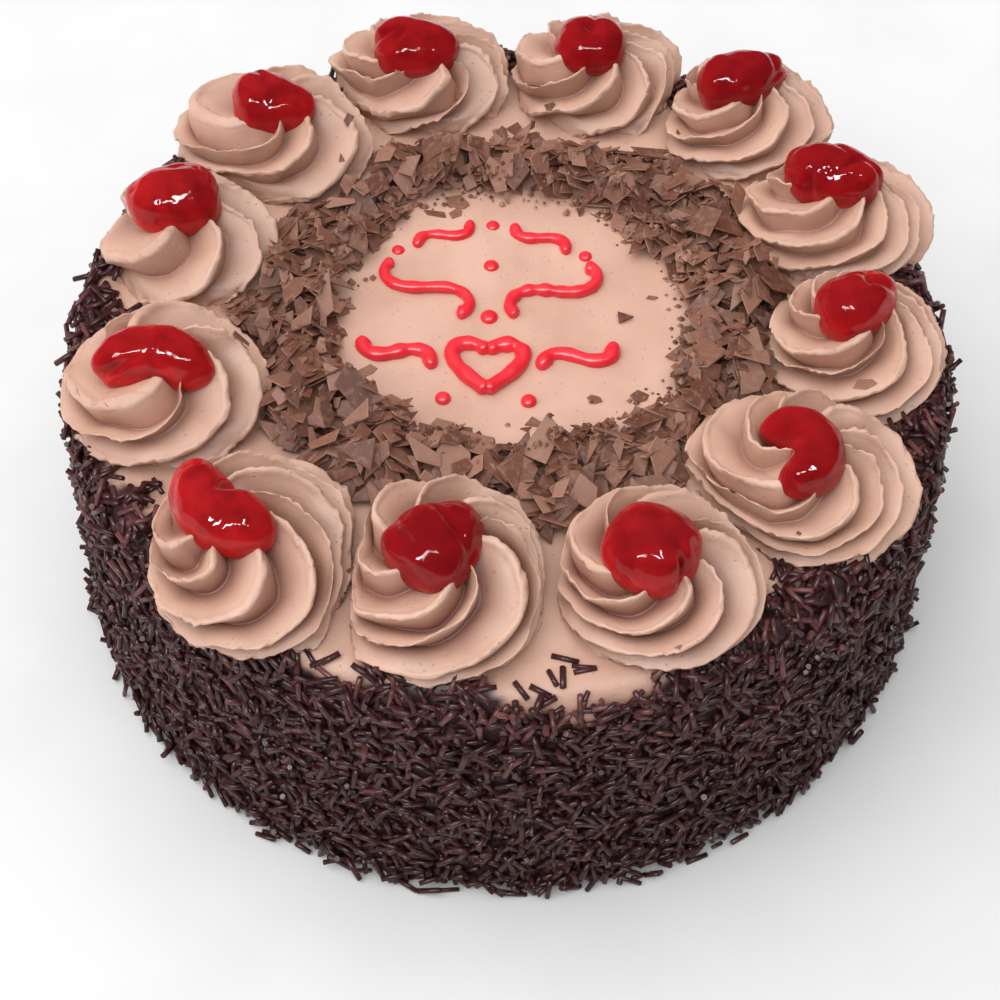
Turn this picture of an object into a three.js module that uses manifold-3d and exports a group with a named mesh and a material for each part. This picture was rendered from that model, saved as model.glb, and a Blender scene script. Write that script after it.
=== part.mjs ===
// A round celebration cake, in millimetres with +Z up and the origin at the middle of its underside.
// One solid body carries the toppings that are fused to it: chocolate strands on the side, a ring of
// chocolate flakes on top and a piped ornament. Twelve piped rosettes and their cherries stand on it.
import * as THREE from 'three';
import { mergeVertices } from 'three/addons/utils/BufferGeometryUtils.js';
import Module from 'manifold-3d';

// Cake body
const CAKE_HEIGHT = 76.5;
const FOOT_RADIUS = 109;
const RIM_RADIUS = 105.5;
const SHOULDER = 5;
const SHOULDER_STEPS = 3;
const BODY_SIDES = 48;

// The rosettes, the flakes and the ornament share a middle a little behind the cake's own
const TOPPING_MIDDLE_Y = 5;
const GAP = 0.3;

// Chocolate strands on the side, nearly level where they are close to the foot
const STRAND_COUNT = 72;
const STRAND_RADIUS = 0.8;
const STRAND_SIDES = 4;
const STRAND_LENGTH = [5.2, 7.6];
const STRAND_LEAN = 16;
const STRAND_TURN = 90;
const STRAND_LOW_TURN = 22;
const STRAND_HEIGHTS = [3, 72];
const STRAND_LOW_BELOW = 7;

// Chocolate flakes, in a low ring round the clear middle
const FLAKE_COUNT = 90;
const FLAKE_CORNERS = 4;
const FLAKE_RADIUS = [4, 7.6];
const FLAKE_CORNER_REACH = [0.62, 1];
const FLAKE_STRETCH = 0.8;
const FLAKE_THICKNESS = 1.1;
const FLAKE_TILT = 24;
const FLAKE_RING = [43, 61];
const FLAKE_LIFT = [1.6, 2.8];
const FLAKE_LOOSE_LIFT = -0.3;
const FLAKE_BED_INNER = 42;
const FLAKE_BED_OUTER = 56.5;
const FLAKE_BED_HEIGHT = 2.2;
const FLAKE_BED_SIDES = 30;
const FLAKE_BED_SECTION = [[0, -1], [0.12, 0.55], [0.45, 1], [0.85, 0.9], [1, -1]];
// How far the inner edge of their bed wanders, and its waves: number of them, turn (radians) and share
const FLAKE_BED_WANDER = 1.8;
const FLAKE_BED_WAVES = [[3, 2.6, 1], [7, 0, 0.6]];

// Piped ornament
const PIPING_MIDDLE = [-5, 6];
const PIPING_SIDES = 5;
const PIPING_STEPS = 8;
const PIPING_SINK = 0.35;
const DOT_SIDES = 6;
const DOT_RINGS = 4;
const DOT_HEIGHT = 0.75;

// Rosettes, piped with a star nozzle: shares of a ridge's width place its crease and crest. The
// ridges are uneven in width, reach, sweep and height of their ears by a share of each, and a pace (radians
// a ridge) sets how that changes from one ridge to the next. The warp (radians) turns them more radial
// at the right of the rosette than at its left
const ROSETTE_HEIGHT = 17;
const ROSETTE_SLOPES = [-18, 66];
const ROSETTE_ROWS = 8;
const SWEEP_END = 1.2;
const RIDGE_DEPTH = 6.2;
const RIDGE_FOOT_DEPTH = 0.55;
const RIDGE_COLUMNS = [{ at: 0, sink: 1 }, { at: 0.66, sink: 0 }];
const UNEVEN_WIDTH = 0.32;
const UNEVEN_REACH = 0.05;
const UNEVEN_SWEEP = 0.3;
const UNEVEN_EAR = 0.35;
const WIDTH_PACE = 2.4;
const REACH_PACE = 1.7;
const SWEEP_PACE = 3.1;
const EAR_PACE = 2.9;
const EAR_RISE = 0.85;
const EAR_SPREAD = 0.2;
const EAR_TURN = 20;
const EAR_FRONT = 0.35;
const RIDGE_WARP = 0.3;
const SQUASH_FROM = 0.78;
const SQUASH_LEAN = 0.4;

// One row for each rosette: place on the ring (degrees), ring radius, rosette radius, its depth along Y
// as a share of its width, how far its top leans along X and Y, number of ridges, turn of the first
// ridge and sweep of a ridge (degrees), how much of the sweep is near the foot (1 is even), and height
// of the ears that stand behind its cherry
const ROSETTES = [
  [236.7, 92.6, 24.3, 1, -10, 3.8, 8, 20, 150, 1.4, 6],
  [260.5, 82.1, 26.5, 0.93, 0.1, 1.3, 8, 75, 150, 1.4, 6],
  [293.5, 85.5, 24, 0.94, -3, -1.5, 8, 110, 150, 1.4, 4],
  [322.5, 83, 26, 0.93, -0.4, -1.5, 8, 200, 160, 1.4, 4],
  [352, 83, 21.5, 0.95, -1.5, 4.5, 9, 35, 150, 1, 1],
  [21.5, 86.5, 24.2, 0.86, -2, 4, 9, 160, 140, 1, -3],
  [48.5, 90.5, 22.8, 0.87, -2, 3, 9, 250, 130, 1, -1],
  [76, 86, 26, 0.8, -2, -1, 9, 15, 90, 1, 0],
  [107, 86, 26.5, 0.8, -1.5, -3, 9, 90, 95, 1, 0],
  [137.5, 84.5, 26.5, 0.9, 1, -1.5, 6, 150, 120, 1.3, 1],
  [167, 81.5, 22, 0.95, -2.5, 1.5, 6, 300, 85, 1.2, 0],
  [200.5, 84, 23.5, 0.98, -1, -1, 6, 230, 140, 1.3, 5],
].map(([angle, ring, radius, narrow, leanX, leanY, ridges, firstRidge, sweep, ease, ears]) => (
  { angle, ring, radius, narrow, leanX, leanY, ridges, firstRidge, sweep, ease, ears }));

// One row for each cherry: length along its spine, half width, half height, bend of its spine
// (degrees), taper towards its far end and turn of its length (degrees)
const CHERRY_LIFT = 15;
const CHERRY_SIDES = 10;
const CHERRY_TIP = 0.22;
const CHERRY_RINGS = [-1, -0.84, -0.45, 0, 0.45, 0.84, 1];
const CHERRIES = [
  [28.5, 7.6, 7.5, 130, 0.1, -42],
  [22, 9.6, 8, 0, -0.3, 50],
  [20.5, 10.2, 9.2, 0, 0, -30],
  [28.5, 6, 6.8, 250, -0.1, 104],
  [21.5, 7.8, 7.4, 30, -0.25, 40],
  [24, 8.4, 7.8, 40, 0.1, 168],
  [24.5, 7.4, 7.6, 35, -0.22, 22],
  [18.5, 9, 7, 0, 0, 0],
  [22.5, 8.8, 7.2, 20, 0.15, 175],
  [21.5, 8, 7.3, 25, 0.28, 172],
  [22.5, 9, 8.4, 0, 0.1, 12],
  [28, 7, 7.4, 135, 0, 180],
].map(([length, halfWidth, halfHeight, bend, taper, turn]) => (
  { length, halfWidth, halfHeight, bend, taper, turn }));

// One row for each piped scroll: middle of the stroke, its length, radius of the cord, how far its
// ends curl (degrees), turn of the stroke (degrees) and which way it curls
const SCROLLS = [
  [[-12, 25], 20, 1.4, 150, -8, 1],
  [[12, 25], 20, 1.4, 150, 8, -1],
  [[-15.5, 7], 37, 1.5, 175, 6, -1],
  [[15.5, 7], 37, 1.5, 175, -6, 1],
  [[-21.5, -14.5], 24.5, 1.8, 160, 20, -1],
  [[21.5, -14.5], 24.5, 1.8, 160, -20, 1],
].map(([middle, length, radius, curl, turn, curlSide]) => (
  { middle, length, radius, curl, turn, curlSide }));
const HEART = { middle: [0, -17], size: 8.5, radius: 1.8 };

// One row for each piped dot: place and radius
const DOTS = [
  [0, 29, 1.8], [0, 15, 2], [-23.2, 19.5, 1.7], [23.2, 19.5, 1.7], [0, -2, 2.2], [-10, -28, 1.9],
  [10, -28, 1.9],
];

// Looks
const ICING = { color: 0xd9ae98, roughness: 0.62, metalness: 0 };
const CREAM = { color: 0xdcb39d, roughness: 0.58, metalness: 0 };
const CHERRY_RED = { color: 0xa00f14, roughness: 0.12, metalness: 0 };

const GOLDEN_TURN = Math.PI * (3 - Math.sqrt(5));
const SEED = 41;
const MERGE_DISTANCE = 1e-4;
const SLIVER = 0.03;

const wasm = await Module();
wasm.setup();

function randomDraws(seed) {
  let state = seed;
  return () => {
    state = (state + 0x6d2b79f5) | 0;
    let mixed = Math.imul(state ^ (state >>> 15), 1 | state);
    mixed = (mixed + Math.imul(mixed ^ (mixed >>> 7), 61 | mixed)) ^ mixed;
    return ((mixed ^ (mixed >>> 14)) >>> 0) / 4294967296;
  };
}

function between([low, high], share) {
  return low + (high - low) * share;
}

function radians(degrees) {
  return THREE.MathUtils.degToRad(degrees);
}

function solidOf(geometry) {
  const bare = geometry.clone();
  bare.deleteAttribute('normal');
  bare.deleteAttribute('uv');
  const merged = mergeVertices(bare, MERGE_DISTANCE);
  const vertProperties = Float32Array.from(merged.attributes.position.array);
  const triVerts = Uint32Array.from(merged.index.array);
  return new wasm.Manifold(new wasm.Mesh({ numProp: 3, vertProperties, triVerts }));
}

// A joined or cut solid without hair-thin slivers, loose scraps or the skins of sealed hollows
function mainPiece(solid) {
  const pieces = solid.simplify(SLIVER).decompose();
  pieces.sort((a, b) => b.volume() - a.volume());
  return pieces[0];
}

function geometryOf(solid) {
  const { vertProperties, triVerts } = solid.getMesh();
  const geometry = new THREE.BufferGeometry();
  geometry.setAttribute('position', new THREE.BufferAttribute(vertProperties, 3));
  geometry.setIndex(new THREE.BufferAttribute(triVerts, 1));
  geometry.computeVertexNormals();
  return geometry;
}

// A closed skin over rows of points that all have the same number of columns, capped at both ends
function skinOf(rows) {
  const columns = rows[0].length;
  const points = rows.flat();
  const capMiddle = (row) => row.reduce((sum, p) => sum.add(p), new THREE.Vector3()).divideScalar(columns);
  const first = points.push(capMiddle(rows[0])) - 1;
  const last = points.push(capMiddle(rows.at(-1))) - 1;
  const top = (rows.length - 1) * columns;
  const faces = [];
  for (let column = 0; column < columns; column += 1) {
    const next = (column + 1) % columns;
    faces.push(first, next, column, last, top + column, top + next);
    for (let row = 0; row < rows.length - 1; row += 1) {
      const low = row * columns;
      const high = low + columns;
      faces.push(low + column, low + next, high + next, low + column, high + next, high + column);
    }
  }
  const geometry = new THREE.BufferGeometry().setFromPoints(points);
  geometry.setIndex(faces);
  return geometry;
}

// Cake body

function wallRadius(z) {
  return THREE.MathUtils.lerp(FOOT_RADIUS, RIM_RADIUS, z / CAKE_HEIGHT);
}

function bodyGeometry() {
  const profile = [new THREE.Vector2(0, 0), new THREE.Vector2(FOOT_RADIUS, 0)];
  for (let step = 0; step <= SHOULDER_STEPS; step += 1) {
    const angle = (Math.PI / 2) * (step / SHOULDER_STEPS);
    const radius = RIM_RADIUS - SHOULDER * (1 - Math.cos(angle));
    profile.push(new THREE.Vector2(radius, CAKE_HEIGHT - SHOULDER * (1 - Math.sin(angle))));
  }
  profile.push(new THREE.Vector2(0, CAKE_HEIGHT));
  return new THREE.LatheGeometry(profile, BODY_SIDES).rotateX(Math.PI / 2);
}

// Strands lie on the wall at random angles, one end a little proud, at even places on a spiral
function strandGeometries() {
  const draw = randomDraws(SEED);
  const strands = [];
  for (let index = 0; index < STRAND_COUNT; index += 1) {
    const z = between(STRAND_HEIGHTS, (index + 0.5) / STRAND_COUNT);
    const length = between(STRAND_LENGTH, draw());
    const turn = z < STRAND_LOW_BELOW ? STRAND_LOW_TURN : STRAND_TURN;
    const strand = new THREE.CylinderGeometry(STRAND_RADIUS, STRAND_RADIUS, length, STRAND_SIDES);
    strand.rotateZ(radians(STRAND_LEAN) * (2 * draw() - 1));
    strand.rotateX(radians(turn) * (2 * draw() - 1));
    strand.translate(wallRadius(z), 0, z).rotateZ(index * GOLDEN_TURN);
    strands.push(strand);
  }
  return strands;
}

// Flake ring

function toppingPlace(angle, radius) {
  return new THREE.Vector2(radius * Math.cos(angle), TOPPING_MIDDLE_Y + radius * Math.sin(angle));
}

function flakeBedInner(angle) {
  const wander = FLAKE_BED_WAVES.map(([count, turn, share]) => share * Math.sin(count * angle + turn));
  return FLAKE_BED_INNER + FLAKE_BED_WANDER * wander.reduce((sum, wave) => sum + wave, 0);
}

function flakeBedGeometry() {
  const rows = [];
  for (let side = 0; side <= FLAKE_BED_SIDES; side += 1) {
    const angle = (2 * Math.PI * (side % FLAKE_BED_SIDES)) / FLAKE_BED_SIDES;
    const inner = flakeBedInner(angle);
    rows.push(FLAKE_BED_SECTION.map(([share, rise]) => {
      const place = toppingPlace(angle, between([inner, FLAKE_BED_OUTER], share));
      return new THREE.Vector3(place.x, place.y, CAKE_HEIGHT + FLAKE_BED_HEIGHT * rise);
    }));
  }
  return ringSkin(rows);
}

// A closed skin over rows of points that run round a ring and end where they began
function ringSkin(rows) {
  const columns = rows[0].length;
  const turns = rows.length - 1;
  const faces = [];
  for (let row = 0; row < turns; row += 1) {
    const next = ((row + 1) % turns) * columns;
    for (let column = 0; column < columns; column += 1) {
      const here = row * columns + column;
      const beside = row * columns + ((column + 1) % columns);
      const ahead = next + column;
      const across = next + ((column + 1) % columns);
      faces.push(here, across, ahead, here, beside, across);
    }
  }
  const geometry = new THREE.BufferGeometry().setFromPoints(rows.slice(0, turns).flat());
  geometry.setIndex(faces);
  return geometry;
}

function flakeShape(radius, draw) {
  const outline = [];
  for (let corner = 0; corner < FLAKE_CORNERS; corner += 1) {
    const angle = (2 * Math.PI * (corner + 0.5 * draw())) / FLAKE_CORNERS;
    const reach = radius * between(FLAKE_CORNER_REACH, draw());
    outline.push(new THREE.Vector2(reach * Math.cos(angle), FLAKE_STRETCH * reach * Math.sin(angle)));
  }
  return new THREE.Shape(outline);
}

function isClearOfRosettes(place, radius) {
  return ROSETTES.every((rosette) => {
    return place.distanceTo(rosettePlace(rosette)) > rosette.radius + radius + GAP;
  });
}

// Flakes lie on the bed at random tilts, at even places on a spiral, where no rosette stands
function flakeGeometries() {
  const draw = randomDraws(SEED + 1);
  const flakes = [];
  for (let index = 0; index < FLAKE_COUNT; index += 1) {
    const radius = between(FLAKE_RADIUS, draw() * draw());
    const ring = Math.sqrt(between(FLAKE_RING.map((r) => r * r), (index + 0.5) / FLAKE_COUNT));
    const place = toppingPlace(index * GOLDEN_TURN, ring);
    const flake = new THREE.ExtrudeGeometry(flakeShape(radius, draw), {
      depth: FLAKE_THICKNESS, bevelEnabled: false, steps: 1 });
    flake.rotateX(radians(FLAKE_TILT) * (2 * draw() - 1));
    flake.rotateY(radians(FLAKE_TILT) * (2 * draw() - 1));
    flake.rotateZ(2 * Math.PI * draw());
    const lift = ring < FLAKE_BED_OUTER - radius ? between(FLAKE_LIFT, draw()) : FLAKE_LOOSE_LIFT;
    flake.translate(place.x, place.y, CAKE_HEIGHT + lift);
    if (isClearOfRosettes(place, radius)) flakes.push(flake);
  }
  return flakes;
}

// Piped ornament

function onTop([x, y], z = 0) {
  const place = new THREE.Vector2(...PIPING_MIDDLE).add(new THREE.Vector2(x, y));
  return new THREE.Vector3(place.x, place.y, CAKE_HEIGHT + z);
}

function cordAlong(points, radius) {
  const section = [];
  for (let side = 0; side < PIPING_SIDES; side += 1) {
    const angle = (2 * Math.PI * (side + 0.5)) / PIPING_SIDES;
    section.push(new THREE.Vector2(radius * Math.cos(angle), radius * Math.sin(angle)));
  }
  return new THREE.ExtrudeGeometry(new THREE.Shape(section), {
    steps: PIPING_STEPS, bevelEnabled: false, extrudePath: new THREE.CatmullRomCurve3(points) });
}

// A stroke whose curvature grows towards its ends, so that both ends curl up
function scrollPoints({ middle, length, radius, curl, turn, curlSide }) {
  const half = [1, -1].map((side) => {
    const points = [];
    let place = new THREE.Vector2(0, 0);
    for (let step = 1; step <= PIPING_STEPS; step += 1) {
      const share = (step - 0.5) / PIPING_STEPS;
      const heading = radians(curl) * share * share + (side < 0 ? Math.PI : 0);
      const stride = length / 2 / PIPING_STEPS;
      const ahead = new THREE.Vector2(stride * Math.cos(heading), stride * Math.sin(heading));
      place = place.clone().add(ahead);
      points.push(place);
    }
    return points;
  });
  const flat = [...half[1].reverse(), new THREE.Vector2(0, 0), ...half[0]];
  return flat.map((p) => {
    const turned = new THREE.Vector2(p.x, p.y * curlSide).rotateAround(new THREE.Vector2(), radians(turn));
    return onTop([middle[0] + turned.x, middle[1] + turned.y], radius * PIPING_SINK);
  });
}

// One half of the usual heart curve, from the cleft round to the tip
function heartPoints(side) {
  const points = [];
  for (let step = 0; step <= PIPING_STEPS; step += 1) {
    const angle = (Math.PI * step) / PIPING_STEPS;
    const x = side * Math.sin(angle) ** 3;
    const y = (13 * Math.cos(angle) - 5 * Math.cos(2 * angle) - 2 * Math.cos(3 * angle)) / 16;
    const [middleX, middleY] = HEART.middle;
    points.push(onTop([middleX + HEART.size * x, middleY + HEART.size * y], HEART.radius * PIPING_SINK));
  }
  return points;
}

function pipingGeometries() {
  const scrolls = SCROLLS.map((scroll) => cordAlong(scrollPoints(scroll), scroll.radius));
  const dots = DOTS.map(([x, y, radius]) => {
    const dot = new THREE.SphereGeometry(radius, DOT_SIDES, DOT_RINGS).rotateX(Math.PI / 2);
    const place = onTop([x, y]);
    return dot.scale(1, 1, DOT_HEIGHT).translate(place.x, place.y, place.z);
  });
  const heart = [1, -1].map((side) => cordAlong(heartPoints(side), HEART.radius));
  return [...scrolls, ...heart, ...dots];
}

function cakeBody() {
  const pieces = [flakeBedGeometry(), ...flakeGeometries(), ...strandGeometries(), ...pipingGeometries()];
  let body = solidOf(bodyGeometry());
  for (const piece of pieces) body = body.add(solidOf(piece));
  return geometryOf(mainPiece(body));
}

// Rosettes

function rosettePlace({ angle, ring }) {
  return toppingPlace(radians(angle), ring);
}

// Soft cream flattens against its neighbours: the outer part of the reach is pressed together
function squash(point, index) {
  const { radius, leanX, leanY } = ROSETTES[index];
  const here = rosettePlace(ROSETTES[index]);
  for (const step of [1, ROSETTES.length - 1]) {
    const away = rosettePlace(ROSETTES[(index + step) % ROSETTES.length]).sub(here);
    const limit = away.length() / 2 - GAP / 2;
    away.normalize();
    const lean = Math.max(0, leanX * away.x + leanY * away.y);
    const widest = radius * (1 + UNEVEN_REACH) + SQUASH_LEAN * lean;
    const start = SQUASH_FROM * limit;
    const reach = point.x * away.x + point.y * away.y;
    if (reach > start) {
      const pressed = start + (reach - start) * Math.min(1, (limit - start) / (widest - start));
      point.x += away.x * (pressed - reach);
      point.y += away.y * (pressed - reach);
    }
  }
  return point;
}

// One uneven value for each ridge of a rosette, from -1 to 1
function uneven(index, ridges, pace) {
  return Array.from({ length: ridges }, (_, ridge) => Math.sin(pace * (ridge + 1) + index));
}

// Where each ridge starts, in ridges of even width, so that a round of them ends at their number
function ridgeStarts(index, ridges) {
  const widths = uneven(index, ridges, WIDTH_PACE).map((value) => 1 + UNEVEN_WIDTH * value);
  const round = widths.reduce((sum, width) => sum + width, 0);
  let start = 0;
  return widths.map((width) => {
    const here = (start * ridges) / round;
    start += width;
    return here;
  });
}

// The value at a share of the way from one ridge to the next; a round of ridges adds the round trip
function overRidges(values, ridge, share, roundTrip = 0) {
  const next = ridge + 1 < values.length ? values[ridge + 1] : values[0] + roundTrip;
  return THREE.MathUtils.lerp(values[ridge], next, share);
}

// Ridges sweep inward round the dome, with a sharp crest and a crease between one and the next. Round
// the cherry their crests end as raised ears, higher behind it than in front.
function rosetteGeometry(index) {
  const { radius, narrow, leanX, leanY, ridges, firstRidge, sweep, ease, ears } = ROSETTES[index];
  const starts = ridgeStarts(index, ridges);
  const reaches = uneven(index, ridges, REACH_PACE).map((value) => 1 + UNEVEN_REACH * value);
  const sweeps = uneven(index, ridges, SWEEP_PACE).map((value) => UNEVEN_SWEEP * value);
  const earShares = uneven(index, ridges, EAR_PACE).map((value) => 1 + UNEVEN_EAR * (value - 1));
  const base = Math.sin(radians(ROSETTE_SLOPES[0]));
  const steep = ROSETTE_HEIGHT / (1 - base);
  const rows = [];
  for (let row = 0; row < ROSETTE_ROWS; row += 1) {
    const rise = row / (ROSETTE_ROWS - 1);
    const slope = radians(between(ROSETTE_SLOPES, rise));
    const depth = RIDGE_DEPTH * between([RIDGE_FOOT_DEPTH, 1], Math.min(1, 2 * rise));
    const facing = Math.atan2(radius * Math.max(0, Math.sin(slope)), steep * Math.cos(slope));
    const eased = SWEEP_END * (1 - (1 - rise / SWEEP_END) ** ease);
    const grown = Math.exp(-(((rise - EAR_RISE) / EAR_SPREAD) ** 2));
    const points = [];
    for (let ridge = 0; ridge < ridges; ridge += 1) {
      for (const { at, sink } of RIDGE_COLUMNS) {
        const across = overRidges(starts, ridge, at, ridges) + rise * overRidges(sweeps, ridge, at);
        const even = radians(firstRidge + sweep * eased) + (2 * Math.PI * across) / ridges;
        const turn = even - RIDGE_WARP * Math.sin(even);
        const behind = THREE.MathUtils.clamp(EAR_FRONT + Math.sin(turn + radians(EAR_TURN)), 0, 1);
        const ear = ears * overRidges(earShares, ridge, at) * grown * behind * (1 - sink);
        const reach = radius * overRidges(reaches, ridge, at);
        const out = reach * Math.cos(slope) - depth * sink * Math.cos(facing);
        const up = steep * (Math.sin(slope) - base) - depth * sink * Math.sin(facing) + ear;
        const x = out * Math.cos(turn) + leanX * rise * rise;
        const y = narrow * out * Math.sin(turn) + leanY * rise * rise;
        points.push(squash(new THREE.Vector3(x, y, Math.max(0, up)), index));
      }
    }
    rows.push(points);
  }
  return skinOf(rows);
}

// Cherries

// An egg-shaped body bent round an arc, with grow added all over
function cherryGeometry({ length, halfWidth, halfHeight, bend, taper }, grow) {
  const halfSpine = length / 2 + grow;
  const rows = CHERRY_RINGS.map((along) => {
    const points = [];
    const around = Math.max(CHERRY_TIP, Math.sqrt(1 - along * along));
    const wide = around * (1 + taper * along);
    for (let side = 0; side < CHERRY_SIDES; side += 1) {
      const angle = (2 * Math.PI * side) / CHERRY_SIDES;
      const across = (halfWidth + grow) * wide * Math.cos(angle);
      const up = (halfHeight + grow) * wide * Math.sin(angle);
      points.push(bentPoint(halfSpine * along, across, up, bend, halfSpine));
    }
    return points;
  });
  return skinOf(rows);
}

// A point beside a spine that bends towards +Y through the given angle
function bentPoint(along, across, up, bend, halfSpine) {
  if (bend === 0) return new THREE.Vector3(along, across, up);
  const arcRadius = (2 * halfSpine) / radians(bend);
  const angle = along / arcRadius;
  const reach = arcRadius - across;
  return new THREE.Vector3(reach * Math.sin(angle), arcRadius - reach * Math.cos(angle), up);
}

// A cherry in its rosette's frame, on the leaning top
function cherryPlaced(index, grow) {
  const { leanX, leanY } = ROSETTES[index];
  const cherry = cherryGeometry(CHERRIES[index], grow);
  cherry.computeBoundingBox();
  const middle = cherry.boundingBox.getCenter(new THREE.Vector3());
  cherry.translate(-middle.x, -middle.y, -middle.z).rotateZ(radians(CHERRIES[index].turn));
  return cherry.translate(leanX, leanY, CHERRY_LIFT);
}

function rosetteWithSeat(index) {
  const seat = solidOf(cherryPlaced(index, GAP));
  return geometryOf(mainPiece(solidOf(rosetteGeometry(index)).subtract(seat)));
}

// Assembly

function node(name, geometry, look) {
  const mesh = new THREE.Mesh(geometry, new THREE.MeshStandardMaterial({ ...look, flatShading: true }));
  mesh.name = name;
  return mesh;
}

function numbered(name, index) {
  return `${name}_${String(index + 1).padStart(2, '0')}`;
}

const cake = new THREE.Group();
cake.name = 'cake';
cake.add(node('cake_body', cakeBody(), ICING));
ROSETTES.forEach((rosette, index) => {
  const place = rosettePlace(rosette);
  const group = new THREE.Group();
  group.position.set(place.x, place.y, CAKE_HEIGHT + GAP);
  group.add(node(numbered('rosette', index), rosetteWithSeat(index), CREAM));
  group.add(node(numbered('cherry', index), cherryPlaced(index, 0), CHERRY_RED));
  cake.add(group);
});

export default cake;
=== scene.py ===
"""A round celebration cake with mocha icing, a coat of chocolate strands, a ring of chocolate flakes,
a piped ornament and twelve piped rosettes that carry cherries.

Sizes are in millimetres, as in the solids, and become metres where a mesh is made.
"""

import math
from collections import namedtuple

import bpy
import numpy as np
from mathutils import Matrix, Vector
from numpy.linalg import norm
from numpy.random import default_rng


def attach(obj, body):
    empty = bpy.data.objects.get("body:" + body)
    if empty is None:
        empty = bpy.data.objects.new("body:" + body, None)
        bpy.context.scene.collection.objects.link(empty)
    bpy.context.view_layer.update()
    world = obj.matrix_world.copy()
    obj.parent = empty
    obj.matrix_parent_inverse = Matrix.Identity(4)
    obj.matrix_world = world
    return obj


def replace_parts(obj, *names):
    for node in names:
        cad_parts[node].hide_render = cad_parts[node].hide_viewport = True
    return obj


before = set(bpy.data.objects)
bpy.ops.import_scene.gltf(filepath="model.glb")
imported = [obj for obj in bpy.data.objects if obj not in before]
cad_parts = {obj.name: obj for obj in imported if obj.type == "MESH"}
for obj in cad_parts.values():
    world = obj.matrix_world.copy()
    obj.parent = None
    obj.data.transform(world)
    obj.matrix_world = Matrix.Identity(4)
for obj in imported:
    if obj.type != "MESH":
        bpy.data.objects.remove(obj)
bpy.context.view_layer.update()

MM = 0.001
SEED = 41
ROSETTE_SEED = SEED + 10
CHERRY_SEED = SEED + 40
GOLDEN_TURN = math.pi * (3 - math.sqrt(5))
TINY = 1e-9
TINY_STEP = 1e-6
# Random relief: number of waves and spread of their pitch
WAVE_COUNT = 20
WAVE_SPREAD = (0.7, 1.4)

# Cake body
CAKE_HEIGHT = 76.5
FOOT_RADIUS = 109.0
RIM_RADIUS = 105.5
SHOULDER = 5.0
COAT_DEPTH = 2.0
SHOULDER_START = CAKE_HEIGHT - SHOULDER
SHOULDER_END = SHOULDER_START + SHOULDER * math.pi / 2
TOPPING_MIDDLE = np.array([0.0, 5.0])
GAP = 0.3
ICING_SIDES = 288
WALL_STEPS = 24
SHOULDER_STEPS = 12
TOP_STEPS = 58
LAST_RING = 1.5
# Strength and size of the waves in the top, and the depth over which they fade
ICING_WAVES = ((0.22, 30.0), (0.06, 8.0))
ICING_WAVES_FADE = 3.0
# Distance of the coat's colour on the icing, deeper strands and painted shade between them, from the
# coat's border, and its fade
COAT_COLOUR_INSET = 2.0
COAT_COLOUR_FADE = 1.5

# Chocolate strands
STRAND_COUNT = 11900
STRAND_RADIUS = (0.58, 0.78)
STRAND_LENGTH = (3.6, 6.8)
STRAND_LENGTH_DRAW = (2.0, 2.0)
STRAND_SIDES = 5
# Painted shade: strands are drawn darker towards the cake's foot and lighter at its top
STRAND_PAINTED_SHADE = (0.6, 1.1)
STRAND_SHADE_DRAW = (2.0, 2.2)
# Layers of the coat: share of the strands, height above the icing and tilt (degrees)
STRAND_LAYERS = ((0.45, 0.2, 8), (0.35, 1.3, 16), (0.2, 2.3, 40))
LAYER_DEPTH = 0.6
TILT_SCATTER = 0.6
TURN_SCATTER = 0.02
CLIMB_SCATTER = 0.8
LOWEST_STRAND = 0.8
SPLAY_BELOW = 6.0
SPLAY = 2.5
STEEP_ROD = 0.9
# The coat's border beyond the shoulder, and its turns: direction and reach (degrees), and distance
BORDER = 1.5
BORDER_UNEVEN = 1.6
BORDER_WAVE = 12.0
BORDER_TURNS = (
    (218, 8, 3.5), (251, 5, -7), (281, 9, -10), (308, 7, 5), (338, 8, 4),
    (7, 8, 5), (35, 8, 5), (62, 8, 5), (92, 7, 4), (122, 7, 5),
    (152, 7, 5), (184, 8, 4),
)
# Single strands beyond the border; the lift is a share of their radius
STRAY_COUNT = 420
STRAY_REACH = 6.0
STRAY_CLEARANCE = 1.0
STRAY_LIFT = 0.7

# Chocolate flakes
FLAKE_COUNT = 2300
FLAKE_RING = (43.0, 66.0)
# Waves of the ring's inner edge: number, phase (radians) and height
FLAKE_RING_WAVES = ((3, 2.6, 2.0), (7, 0.0, 1.4))
FLAKE_REACH = (1.3, 7.4)
FLAKE_REACH_DRAW = (1.3, 2.6)
FLAKE_CORNERS = (3, 4, 4, 4, 5)
FLAKE_CORNER_SCATTER = 0.42
FLAKE_STRETCH = (0.4, 0.9)
FLAKE_THICKNESS = (0.35, 0.75)
FLAKE_BEVEL = 0.25
FLAKE_EDGE = (0.25, 0.75)
FLAKE_BODY_SHADE = 0.75
# Painted highlight along a flake's thin broken edges
FLAKE_EDGE_HIGHLIGHT = 0.4
# How a flake lies on the heap, and the share of it that may lie where a rosette stands
FLAKE_TILT = 0.26
FLAKE_SETTLING = 0.8
FLAKE_STEEPEST = 0.7
FLAKE_CLEARS = 0.85
FLAKE_COVERED = 0.12
# Share of a rosette's radius that keeps flakes off, and margin round the ornament
ROSETTE_HOLD = 0.97
BARE_MARGIN = 0.8
# Single flakes on the clear icing, the largest a share of the reach above
STRAY_FLAKES = 26
STRAY_FLAKE_SIZE = 0.4
STRAY_FLAKE_INSET = 2.0
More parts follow.
